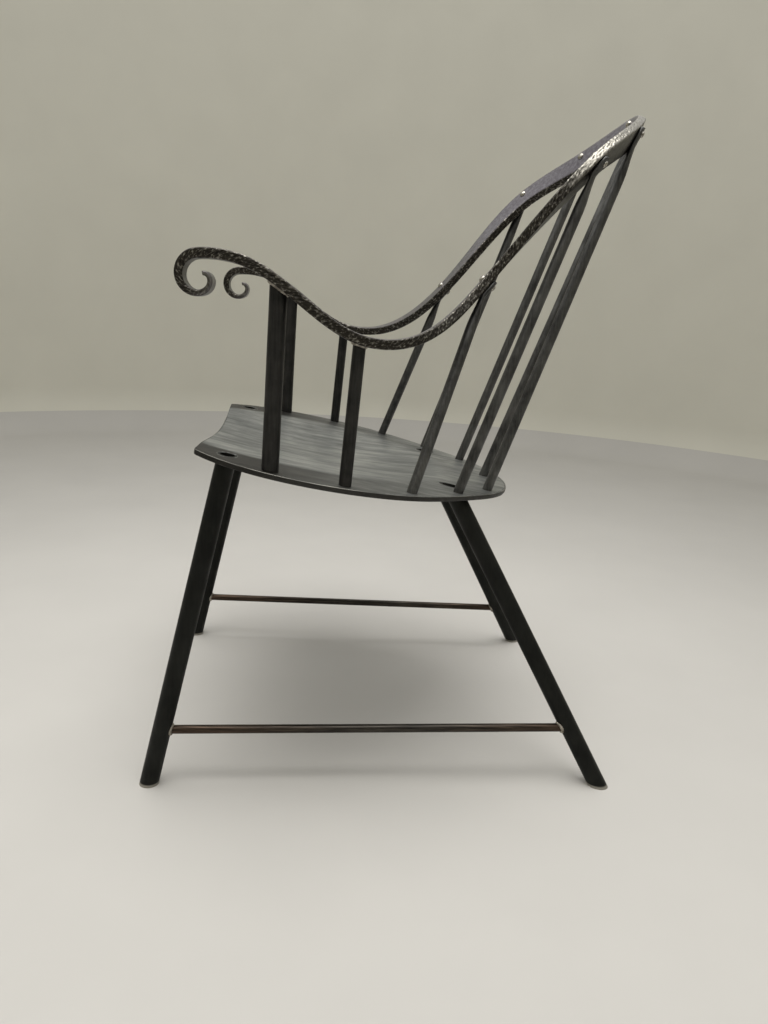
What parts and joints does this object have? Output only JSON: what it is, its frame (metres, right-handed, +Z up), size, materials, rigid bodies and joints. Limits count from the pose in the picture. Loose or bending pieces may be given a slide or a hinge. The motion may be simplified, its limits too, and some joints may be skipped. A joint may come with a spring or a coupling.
{
  "type": "windsor chair",
  "caption": "Continuous-arm windsor chair forged in steel: dished plate seat, tube legs with side stretchers, and one flat bar bent into arms, scrolled hands and riveted back.",
  "frame": {"origin": "middle of the chair's box, on the floor", "axes": "+Z up, the sitter faces -Y, +X is the sitter's left"},
  "size_m": [0.5859, 0.6927, 0.944],
  "materials": {
    "bow_steel": "hammered edges",
    "seat_steel": "burnished",
    "dark_steel": "waxed black",
    "leg_steel": "waxed black",
    "weld_steel": "brushed weld",
    "rivet_steel": "polished"
  },
  "bodies": {
    "root": {"arm_post_welds": "weld_steel", "back_rivets": "rivet_steel", "centre_back_spindle": "dark_steel", "continuous_bow": "bow_steel", "front_arm_post_left": "dark_steel", "front_arm_post_right": "dark_steel", "front_foot_plug_left": "leg_steel", "front_foot_plug_right": "leg_steel", "front_leg_left": "leg_steel", "front_leg_right": "leg_steel", "inner_back_spindle_left": "dark_steel", "inner_back_spindle_right": "dark_steel", "leg_welds": "weld_steel", "middle_back_spindle_left": "dark_steel", "middle_back_spindle_right": "dark_steel", "outer_back_spindle_left": "dark_steel", "outer_back_spindle_right": "dark_steel", "rear_arm_post_left": "dark_steel", "rear_arm_post_right": "dark_steel", "rear_foot_plug_left": "leg_steel", "rear_foot_plug_right": "leg_steel", "rear_leg_left": "leg_steel", "rear_leg_right": "leg_steel", "seat_plate": "seat_steel", "side_stretcher_left": "dark_steel", "side_stretcher_right": "dark_steel", "stretcher_welds": "weld_steel", "upright_welds": "weld_steel"}
  },
  "joints": []
}
